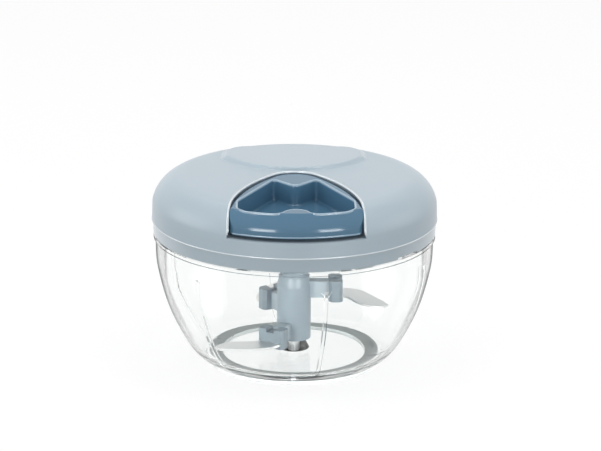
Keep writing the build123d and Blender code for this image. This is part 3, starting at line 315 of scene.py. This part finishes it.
def shaft_plastic(name, color, gloss, arm_lit_color):
    """Satin plastic of the column, with painted light that makes its thin arms paler to lift the shade that
    falls on them.
    """
    material = plastic(name, color, gloss)
    tree = material.node_tree
    level = node(tree, "ShaderNodeVectorMath", operation="MULTIPLY")
    level.inputs[1].default_value = (1, 1, 0)
    link(tree, node(tree, "ShaderNodeTexCoord").outputs["Object"], level.inputs[0])
    reach = node(tree, "ShaderNodeVectorMath", operation="LENGTH")
    link(tree, level.outputs["Vector"], reach.inputs[0])
    arm_light_mask = ramp(tree, reach.outputs["Value"], *arm_reach)
    blend_color(tree, tree.nodes["Principled BSDF"], arm_light_mask, arm_lit_color)
    return material


def metal(name, color, gloss, streak_x=60.0, streak_y=2400.0, bump=0.15):
    material, tree, shader = new_material(name)
    shader.inputs["Metallic"].default_value = 1.0
    dress(tree, shader, brushed, bump, Color=(*color, 1), Gloss=gloss, Streak_X=streak_x, Streak_Y=streak_y)
    return material


clear_ior = 1.12
clear_coat = 0.5
clear_coat_roughness = 0.03
clear_tint = (0.975, 0.985, 0.98, 1)
# painted shade: the colour and see-through grey that darken the clear plastic towards its outline
painted_edge_tint = (0.06, 0.065, 0.07, 1)
outline_shade = (0.42, 0.44, 0.45, 1)
outline_share = 0.85
outline_facing = (0.79, 0.90)
outline_fall = 1.3
outline_heights = (2 * MM, 40 * MM)
shadow_tint = (0.93, 0.95, 0.95, 1)
wave_scale = 45.0
wave_depth = 1 * MM
wave_strength = 0.02


def clear_plastic(name):
    """Clear moulded plastic with painted shade that darkens it towards its outline in place of the lines that
    refraction draws there, with a gloss coat and shallow moulding waves.
    """
    material, tree, shader = new_material(name)
    shader.inputs["Roughness"].default_value = 0.0
    shader.inputs["IOR"].default_value = clear_ior
    shader.inputs["Transmission Weight"].default_value = 1.0
    shader.inputs["Coat Weight"].default_value = clear_coat
    shader.inputs["Coat Roughness"].default_value = clear_coat_roughness
    coordinates = node(tree, "ShaderNodeTexCoord").outputs["Object"]
    relief = node(tree, "ShaderNodeBump")
    relief.inputs["Strength"].default_value = wave_strength
    relief.inputs["Distance"].default_value = wave_depth
    link(tree, noise(tree, coordinates, wave_scale, 1.0), relief.inputs["Height"])
    link(tree, relief.outputs["Normal"], shader.inputs["Normal"])
    facing = node(tree, "ShaderNodeLayerWeight").outputs["Facing"]
    outline = math_node(tree, "POWER", ramp(tree, facing, *outline_facing), outline_fall)
    outline = math_node(tree, "MULTIPLY", outline, ramp(tree, object_place(tree)["Z"], *outline_heights))
    tint = node(tree, "ShaderNodeMix", data_type="RGBA")
    tint.inputs["A"].default_value = clear_tint
    tint.inputs["B"].default_value = painted_edge_tint
    link(tree, outline, tint.inputs["Factor"])
    link(tree, tint.outputs["Result"], shader.inputs["Base Color"])
    dark = node(tree, "ShaderNodeBsdfTransparent")
    dark.inputs["Color"].default_value = outline_shade
    side = node(tree, "ShaderNodeMixShader")
    link(tree, math_node(tree, "MULTIPLY", outline, outline_share), side.inputs["Fac"])
    link(tree, shader.outputs["BSDF"], side.inputs[1])
    link(tree, dark.outputs["BSDF"], side.inputs[2])
    through = node(tree, "ShaderNodeBsdfTransparent")
    through.inputs["Color"].default_value = shadow_tint
    path = node(tree, "ShaderNodeLightPath")
    mix = node(tree, "ShaderNodeMixShader")
    link(tree, path.outputs["Is Shadow Ray"], mix.inputs["Fac"])
    link(tree, side.outputs["Shader"], mix.inputs[1])
    link(tree, through.outputs["BSDF"], mix.inputs[2])
    link(tree, mix.outputs["Shader"], tree.nodes["Material Output"].inputs["Surface"])
    return material


strand_scale = 700.0
strand_shade = 0.7
strand_depth = 0.2 * MM
strand_sway = 1.5
strand_strength = 0.6
cord_roughness = 0.85


def twisted_cord(name, color):
    """Braided cord: slanting strands on the surface."""
    material, tree, shader = new_material(name)
    coordinates = node(tree, "ShaderNodeTexCoord").outputs["Object"]
    wave = node(tree, "ShaderNodeTexWave", wave_type="BANDS", bands_direction="DIAGONAL")
    wave.inputs["Scale"].default_value = strand_scale
    wave.inputs["Distortion"].default_value = strand_sway
    link(tree, coordinates, wave.inputs["Vector"])
    shade = node(tree, "ShaderNodeMix", data_type="RGBA")
    shade.inputs["A"].default_value = (*[part * strand_shade for part in color], 1)
    shade.inputs["B"].default_value = (*color, 1)
    link(tree, wave.outputs["Fac"], shade.inputs["Factor"])
    relief = node(tree, "ShaderNodeBump")
    relief.inputs["Strength"].default_value = strand_strength
    relief.inputs["Distance"].default_value = strand_depth
    link(tree, wave.outputs["Fac"], relief.inputs["Height"])
    link(tree, shade.outputs["Result"], shader.inputs["Base Color"])
    link(tree, relief.outputs["Normal"], shader.inputs["Normal"])
    shader.inputs["Roughness"].default_value = cord_roughness
    return material


# painted highlight: pale glossy colour for the lid's lip and seam beads
lid_highlight_edge = plastic("lid_highlight_edge", (0.66, 0.73, 0.77), 0.12, coat=1.0)
# painted highlight: paler glossy colour for the handle's rim beads
handle_highlight_edge = plastic("handle_highlight_edge", (0.27, 0.40, 0.51), 0.1, coat=0.6)
lid_blue = (0.405, 0.49, 0.55)
# painted sheen colour for the lid's outline
lid_sheen = (0.66, 0.73, 0.78)
band_blue = (0.41, 0.49, 0.54)
# painted sheen colour for the band's outline
band_sheen = (0.80, 0.87, 0.92)
# painted light on the column's arms
arm_lit_blue = (0.31, 0.36, 0.39)
finishes = {
    "clear_bowl": clear_plastic("clear_bowl"),
    "pin_steel": metal("pin_steel", (0.70, 0.71, 0.72), 0.2, 2400.0, 60.0),
    "foot_rubber": plastic("foot_rubber", (0.80, 0.84, 0.84), 0.45, rubs=0.1, bump=0.25, specular=0.35),
    "seal_rubber": plastic("seal_rubber", (0.72, 0.74, 0.74), 0.55, rubs=0.1, bump=0.25, specular=0.3),
    "lid_band": lid_plastic("lid_band", band_blue, 0.3, band_sheen, 0.9, 1.1),
    "lid_shell": lid_plastic("lid_shell", lid_blue, 0.34, lid_sheen, 0.45, 2.0),
    "screw_steel": metal("screw_steel", (0.66, 0.67, 0.68), 0.25),
    "handle_blue": plastic("handle_blue", (0.084, 0.188, 0.288), 0.1, rubs=0.1, specular=0.4),
    "cord_fibre": twisted_cord("cord_fibre", (0.80, 0.80, 0.78)),
    "eyelet_steel": metal("eyelet_steel", (0.72, 0.73, 0.74), 0.12),
    "drive_plastic": plastic("drive_plastic", (0.78, 0.78, 0.76), 0.4, bump=0.2),
    "spring_steel": metal("spring_steel", (0.33, 0.34, 0.37), 0.22, 2400.0, 60.0),
    "gear_plastic": plastic("gear_plastic", (0.84, 0.84, 0.80), 0.38, bump=0.2),
    "washer_plastic": plastic("washer_plastic", (0.88, 0.88, 0.86), 0.4, bump=0.2),
    "bush_brass": metal("bush_brass", (0.70, 0.55, 0.28), 0.25),
    "socket_plastic": plastic("socket_plastic", (0.25, 0.31, 0.35), 0.3),
    "column_plastic": shaft_plastic("column_plastic", (0.205, 0.25, 0.282), 0.3, arm_lit_blue),
    "clamp_plastic": plastic("clamp_plastic", (0.168, 0.208, 0.236), 0.3),
    "blade_steel": metal("blade_steel", (0.74, 0.74, 0.73), 0.22, 70.0, 2000.0),
}


for name, part in frame["nodes"].items():
    part.data.materials.clear()
    part.data.materials.append(finishes[slot_of[name]])


# Pieces that Blender adds or puts in place of plain CAD solids


def add_piece(name, mesh, slot, body=None, stands_for=(), finish=None):
    """Links a finished mesh with its finish and the body that it rides, and hides the nodes that it stands
    for.
    """
    piece = bpy.data.objects.new(name, mesh)
    bpy.context.scene.collection.objects.link(piece)
    mesh.materials.clear()
    mesh.materials.append(finish or finishes[slot])
    if stands_for:
        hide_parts(*stands_for)
    if body:
        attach(piece, body)
    return piece


tube_rings = 6
joined = 1e-6
shade_angle = 32.0


def tube_mesh(name, points, radius, closed=False, resolution=4):
    """A round tube along a smooth NURBS line with the given control points."""
    curve = bpy.data.curves.new(name, "CURVE")
    curve.dimensions = "3D"
    curve.bevel_depth = radius
    curve.bevel_resolution = tube_rings
    curve.resolution_u = resolution
    curve.use_fill_caps = not closed
    spline = curve.splines.new("NURBS")
    spline.points.add(len(points) - 1)
    for point, place in zip(spline.points, points):
        point.co = (*place, 1)
    spline.order_u = 3
    spline.use_endpoint_u = not closed
    spline.use_cyclic_u = closed
    holder = bpy.data.objects.new(name, curve)
    mesh = bpy.data.meshes.new_from_object(holder)
    bpy.data.objects.remove(holder)
    shape = bmesh.new()
    shape.from_mesh(mesh)
    bmesh.ops.remove_doubles(shape, verts=shape.verts, dist=joined)
    bmesh.ops.recalc_face_normals(shape, faces=shape.faces)
    for face in shape.faces:
        face.smooth = True
    shape.to_mesh(mesh)
    shape.free()
    return mesh


# The cord, from the reel through the eyelet to the handle

cord_radius = 0.8 * MM
cord_height = 80.6 * MM
cord_pitch = 2.1 * MM
cord_turns = 3.5
winding_radius = 15 * MM
reel_y = 21.54 * MM
eyelet_front = 2.8 * MM
knot_y = -8.9 * MM
run_end = -6.64 * MM
turn_points = 16
straight_points = 5
knot_size = 0.52 * MM
knot_points = 36


def straight_cord(start_y, end_y):
    step = (end_y - start_y) / (straight_points - 1)
    return [(0, start_y + step * number, cord_height) for number in range(straight_points)]


def add_cord():
    """The cord's four stretches: wound on the reel, fed to the eyelet, run to the handle, and its knot."""
    swell = 1 / math.cos(math.pi / turn_points)
    coil = []
    for number in range(round(cord_turns * turn_points) + 1):
        angle = 2 * math.pi * number / turn_points
        coil.append(
            (
                winding_radius + winding_radius * swell * math.cos(angle),
                reel_y + winding_radius * swell * math.sin(angle),
                cord_height - cord_pitch * (cord_turns - number / turn_points),
            )
        )
    add_piece("cord_coil", tube_mesh("cord_coil", coil, cord_radius), "cord_fibre", "reel", ["cord_winding"])
    feed = straight_cord(reel_y, eyelet_front)
    add_piece("cord_feed", tube_mesh("cord_feed", feed, cord_radius), "cord_fibre", "lid", ["cord_lead"])
    run = straight_cord(eyelet_front, run_end)
    pull = add_piece("cord_pull", tube_mesh("cord_pull", run, cord_radius), "cord_fibre", None, ["cord_run"])
    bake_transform(pull)
    knot = []
    for number in range(knot_points):
        angle = 2 * math.pi * number / knot_points
        knot.append(
            (
                knot_size * (math.sin(angle) + 2 * math.sin(2 * angle)),
                knot_y - knot_size * math.sin(3 * angle),
                cord_height + knot_size * (math.cos(angle) - 2 * math.cos(2 * angle)),
            )
        )
    tied = tube_mesh("cord_end_knot", knot, cord_radius, closed=True)
    add_piece("cord_end_knot", tied, "cord_fibre", "handle", ["cord_knot"])


add_cord()


def merged_copy(name):
    """A CAD node's mesh with its loose triangles joined."""
    shape = bmesh.new()
    shape.from_mesh(frame["nodes"][name].data)
    bmesh.ops.remove_doubles(shape, verts=shape.verts, dist=joined)
    return shape


def partners(edges):
    """Each vertex's neighbours along the given edges."""
    near = {}
    for edge in edges:
        one, other = edge.verts
        near.setdefault(one, []).append(other)
        near.setdefault(other, []).append(one)
    return near


def walk(near, here):
    """The places along joined vertices from one on, each vertex taken out of the map as it is passed."""
    path = []
    while here is not None:
        path.append(here.co.copy())
        here = next((vert for vert in near.pop(here) if vert in near), None)
    return path


def shaded_mesh(name, shape, sharp_degrees=shade_angle):
    """Turns a bmesh into a mesh that is smooth but for its sharp edges, and frees it."""
    for face in shape.faces:
        face.smooth = True
    for edge in shape.edges:
        edge.smooth = edge.calc_face_angle(0.0) < math.radians(sharp_degrees)
    mesh = bpy.data.meshes.new(name)
    shape.to_mesh(mesh)
    shape.free()
    return mesh


# The lid cover with its softened plate

crown_top = 87.3 * MM
plate_top = 88.8 * MM
plate_front = 4.2 * MM
plate_radius = 39.5 * MM
plate_half_width = 34.4 * MM
plate_back = 44.8 * MM
plate_corner = 12 * MM
plate_cut = 0.7 * MM
plate_cut_slack = 1e-8
plate_margin = 0.5 * MM
plate_depth = 0.35 * MM
front_margin = 0.3 * MM
front_slope = 1.1 * MM
side_slope = 3.4 * MM
back_slope = 1.5 * MM
crown_band = 3.5 * MM
crown_low = 80 * MM
crown_tilt = 0.6
height_slack = 0.06 * MM
slope_joined = 0.16 * MM
top_joined = 0.03 * MM


def plate_inset(x, y):
    """How far a point lies inside the raised plate's outline, and how wide the slope of its edge is there."""
    side = abs(x)
    front = plate_radius - math.hypot(side, min(y - plate_front - plate_radius, 0))
    inset = min(front, plate_half_width - side, plate_back - y)
    corner_x, corner_y = plate_half_width - plate_corner, plate_back - plate_corner
    if side > corner_x and y > corner_y:
        inset = min(inset, plate_corner - math.hypot(side - corner_x, y - corner_y))
    width = front_slope + side_slope * min(1.0, side / plate_half_width) ** 2
    if y > corner_y:
        width += back_slope * min(1.0, (y - corner_y) / plate_corner)
    return inset, width


def crown_heights(shape):
    """The crown's height against its distance from the axis, read beside the plate and the pocket."""
    spots = {}
    for vert in shape.verts:
        if abs(vert.co.y) < crown_band and vert.co.z > crown_low and vert.normal.z > crown_tilt:
            spots[round(vert.co.xy.length, 5)] = vert.co.z
    return sorted(spots.items())


def height_at(heights, reach):
    """The crown's height at a distance from the axis."""
    after = min(max(bisect([radius for radius, height in heights], reach), 1), len(heights) - 1)
    (near, low), (far, high) = heights[after - 1], heights[after]
    return low + (high - low) * (reach - near) / (far - near)


def soften_plate(shape):
    """Cuts the plate's top into a fine grid and lays its edges down into the crown in a soft slope."""
    heights = crown_heights(shape)
    side_limit = plate_half_width + plate_margin
    back_limit = plate_back + plate_margin
    patch = {}
    for face in shape.faces:
        middle = face.calc_center_median()
        if middle.z > crown_top - plate_depth and plate_front - front_margin < middle.y < back_limit:
            if abs(middle.x) < side_limit:
                patch.update(dict.fromkeys([face, *face.edges, *face.verts]))
    patch = list(patch)
    for axis, low, high in ((0, -plate_half_width, plate_half_width), (1, plate_front, plate_back)):
        count = round((high - low) / plate_cut)
        for number in range(1, count):
            spot = [0, 0, 0]
            spot[axis] = low + (high - low) * number / count
            normal = [0, 0, 0]
            normal[axis] = 1
            cut = bmesh.ops.bisect_plane(
                shape, geom=patch, dist=plate_cut_slack, plane_co=spot, plane_no=normal
            )
            patch = cut["geom"]
    slope_verts = []
    for vert in shape.verts:
        x, y, z = vert.co
        if abs(x) > side_limit or not plate_front - plate_margin < y < back_limit:
            continue
        bottom = height_at(heights, math.hypot(x, y))
        if z > bottom + height_slack:
            inset, width = plate_inset(x, y)
            share = min(1.0, max(0.0, inset / width))
            share = share * share * (3 - 2 * share)
            vert.co.z = bottom + (plate_top - bottom) * share
            if share < 1:
                slope_verts.append(vert)
    bmesh.ops.remove_doubles(shape, verts=slope_verts, dist=slope_joined)
    bmesh.ops.remove_doubles(shape, verts=shape.verts, dist=top_joined)


lip_low = 75.5 * MM
lip_reach = 32.5 * MM
lip_angle = math.radians(40)
lip_centre = Vector((0, -45 * MM, 0))
lip_shift = 0.42 * MM
lip_rise = 0.05 * MM
lip_radius = 0.6 * MM
lip_end_out, lip_end_back, lip_end_down = 0.5 * MM, 0.5 * MM, 0.9 * MM


def lip_points(shape):
    """The pocket's outer edge in order, read from the cover's convex sharp edges."""
    found = []
    for edge in shape.edges:
        middle = (edge.verts[0].co + edge.verts[1].co) / 2
        if middle.z < lip_low or middle.y > plate_front or abs(middle.x) > lip_reach:
            continue
        if len(edge.link_faces) == 2 and edge.is_convex and edge.calc_face_angle(0.0) > lip_angle:
            found.append(edge)
    near = partners(found)
    return walk(near, next(vert for vert, others in near.items() if len(others) == 1))


def add_lid_cover():
    """The lid cover, and the rounded lip round its pocket, whose pale colour is a painted highlight."""
    shape = merged_copy("lid_cover")
    lip = lip_points(shape)
    soften_plate(shape)
    add_piece("lid_dome", shaded_mesh("lid_dome", shape), "lid_shell", "lid", ["lid_cover"])
    route = []
    for point in lip:
        if point.z >= lip_low:
            inwards = lip_centre - Vector((point.x, max(point.y, lip_centre.y), 0))
            route.append(point + inwards.normalized() * lip_shift + Vector((0, 0, lip_rise)))
    for end in (0, -1):
        route[end] += Vector((math.copysign(lip_end_out, route[end].x), lip_end_back, -lip_end_down))
    bead = tube_mesh("pocket_lip", route, lip_radius, resolution=2)
    add_piece("pocket_lip", bead, "lid_shell", "lid", finish=lid_highlight_edge)


seam_radius = 64.8 * MM
seam_height = 67.2 * MM
seam_thickness = 0.36 * MM
seam_sides = 10
seam_steps = 240
seam_sharp = 80.0


def add_seam_line():
    """The fine rounded edge of the band where the two halves of the lid meet, whose pale colour is a painted
    highlight.
    """
    shape = bmesh.new()
    rings = []
    for step in range(seam_steps):
        turn = 2 * math.pi * step / seam_steps
        ring = []
        for side in range(seam_sides):
            lean = 2 * math.pi * side / seam_sides
            reach = seam_radius - seam_thickness * math.sin(lean)
            height = seam_height + seam_thickness * math.cos(lean)
            ring.append(shape.verts.new((reach * math.cos(turn), reach * math.sin(turn), height)))
        rings.append(ring)
    for one, other in zip(rings, rings[1:] + rings[:1]):
        for side in range(seam_sides):
            shape.faces.new((other[side - 1], other[side], one[side], one[side - 1]))
    add_piece("band_edge", shaded_mesh("band_edge", shape, seam_sharp), "lid_band", "lid", finish=lid_highlight_edge)


outline_slack = 1e-7
rim_cut = 84.4 * MM
rim_step = 0.9 * MM
rim_inset = 0.74 * MM
rim_sink = 0.52 * MM
rim_radius = 0.7 * MM
above_handle = Vector((0, 0, 20 * MM))
foot_cut = 76.3 * MM
foot_back = -55.5 * MM
foot_inset = 0.22 * MM
foot_radius = 0.4 * MM


def level_outlines(shape, height):
    """The outlines of a level cut as ordered loops of points, the widest one first."""
    geometry = [*shape.verts, *shape.edges, *shape.faces]
    level = (0, 0, height)
    cut = bmesh.ops.bisect_plane(
        shape, geom=geometry, dist=outline_slack, plane_co=level, plane_no=(0, 0, 1)
    )
    near = partners(item for item in cut["geom_cut"] if isinstance(item, bmesh.types.BMEdge))
    loops = []
    while near:
        loops.append(walk(near, next(iter(near))))
    return sorted(loops, key=lambda loop: max(point.x for point in loop), reverse=True)


def even_points(loop, step):
    """Points at even steps along a closed loop."""
    spots = []
    carry = 0.0
    for start, end in zip(loop, loop[1:] + loop[:1]):
        run = end - start
        while carry < run.length:
            spots.append(start + run.normalized() * carry)
            carry += step
        carry -= run.length
    return spots


def add_handle_rims():
    """The rounded rims along the hollow's upper edge and along the foot of the handle's front, whose paler
    colour is a painted highlight.
    """
    shape = merged_copy("pull_handle")
    surface = BVHTree.FromBMesh(shape)
    foot = even_points(level_outlines(shape, foot_cut)[0], rim_step)
    foot = sorted((spot for spot in foot if spot.y < foot_back), key=lambda spot: spot.x)
    for spot in foot:
        spot.xy -= spot.xy.normalized() * foot_inset
    line = tube_mesh("handle_foot_rim", foot, foot_radius, resolution=2)
    add_piece("handle_foot_rim", line, "handle_blue", "handle", finish=handle_highlight_edge)
    spots = even_points(level_outlines(shape, rim_cut)[1], rim_step)
    shape.free()
    area = sum(one.x * two.y - two.x * one.y for one, two in zip(spots, spots[1:] + spots[:1]))
    side = math.copysign(1, area)
    route = []
    for before, spot, after in zip(spots[-1:] + spots[:-1], spots, spots[1:] + spots[:1]):
        along = (after - before).normalized()
        outward = Vector((along.y, -along.x, 0)) * side
        top = surface.ray_cast(spot + outward * rim_inset + above_handle, Vector((0, 0, -1)))[0]
        if top:
            route.append(Vector((spot.x, spot.y, top.z)) + outward * rim_inset - Vector((0, 0, rim_sink)))
    bead = tube_mesh("hollow_rim", route, rim_radius, closed=True, resolution=2)
    add_piece("hollow_rim", bead, "handle_blue", "handle", finish=handle_highlight_edge)


add_lid_cover()
add_seam_line()
add_handle_rims()

# Floor, backdrop light and lamps

floor_radius = 6.0
floor_sides = 64
floor_white = (0.92, 0.92, 0.92, 1)
floor_roughness, floor_specular = 0.9, 0.1
floor_glow_share = 0.84
floor_glow, floor_glow_seen = 0.25, 0.78
backdrop_light, backdrop_light_seen = 0.36, 0.64


def make_stage():
    mesh = bpy.data.meshes.new("floor")
    shape = bmesh.new()
    bmesh.ops.create_circle(shape, cap_ends=True, segments=floor_sides, radius=floor_radius)
    shape.to_mesh(mesh)
    shape.free()
    floor = bpy.data.objects.new("floor", mesh)
    bpy.context.scene.collection.objects.link(floor)
    material, tree, shader = new_material("floor_white")
    shader.inputs["Base Color"].default_value = floor_white
    shader.inputs["Roughness"].default_value = floor_roughness
    shader.inputs["Specular IOR Level"].default_value = floor_specular
    glow = node(tree, "ShaderNodeEmission")
    link(tree, scaled(tree, seen_rays(tree), floor_glow_seen, floor_glow), glow.inputs["Strength"])
    mix = node(tree, "ShaderNodeMixShader")
    mix.inputs["Fac"].default_value = floor_glow_share
    link(tree, shader.outputs["BSDF"], mix.inputs[1])
    link(tree, glow.outputs["Emission"], mix.inputs[2])
    link(tree, mix.outputs["Shader"], tree.nodes["Material Output"].inputs["Surface"])
    mesh.materials.append(material)


def make_world():
    world = bpy.data.worlds.new("studio")
    bpy.context.scene.world = world
    world.use_nodes = True
    tree = world.node_tree
    background = tree.nodes["Background"]
    lit = scaled(tree, seen_rays(tree), backdrop_light_seen, backdrop_light)
    link(tree, lit, background.inputs["Strength"])
    background.inputs["Color"].default_value = (1, 1, 1, 1)


def area_light(name, place, target, size, energy):
    data = bpy.data.lights.new(name, "AREA")
    data.shape = "RECTANGLE"
    data.size, data.size_y = size
    data.energy = energy
    lamp = bpy.data.objects.new(name, data)
    bpy.context.scene.collection.objects.link(lamp)
    lamp.location = place
    lamp.rotation_euler = (Vector(target) - Vector(place)).to_track_quat("-Z", "Y").to_euler()
    return lamp


middle = (0, 0, 0.06)
lid_height = (0, 0, 0.08)
slot_box = (0.24, 0.46)
front_box = (0.44, 0.34)
strip_box = (0.44, 0.58)
wing_box = (0.9, 0.6)

make_stage()
make_world()
area_light("overhead_softbox", (0.0, 0.6, 1.1), middle, (1.0, 0.8), 2.6)
area_light("overhead_left", (-0.34, -0.17, 1.08), middle, slot_box, 2.2)
area_light("overhead_right", (0.34, -0.17, 1.08), middle, slot_box, 2.2)
area_light("left_softbox", (-0.57, -1.20, 0.24), lid_height, front_box, 3.9)
area_light("right_softbox", (0.62, -1.17, 0.24), lid_height, front_box, 3.1)
# The strips show only in reflections.
for name, x in (("left_strip", -0.59), ("right_strip", 0.62)):
    area_light(name, (x, -1.19, 0.31), lid_height, strip_box, 4.4).visible_diffuse = False
area_light("left_wing", (-1.25, 0.1, 0.45), middle, wing_box, 4.2)
area_light("right_wing", (1.25, 0.1, 0.45), middle, wing_box, 2.5)

place_camera()
bpy.context.scene.view_settings.view_transform = "Standard"
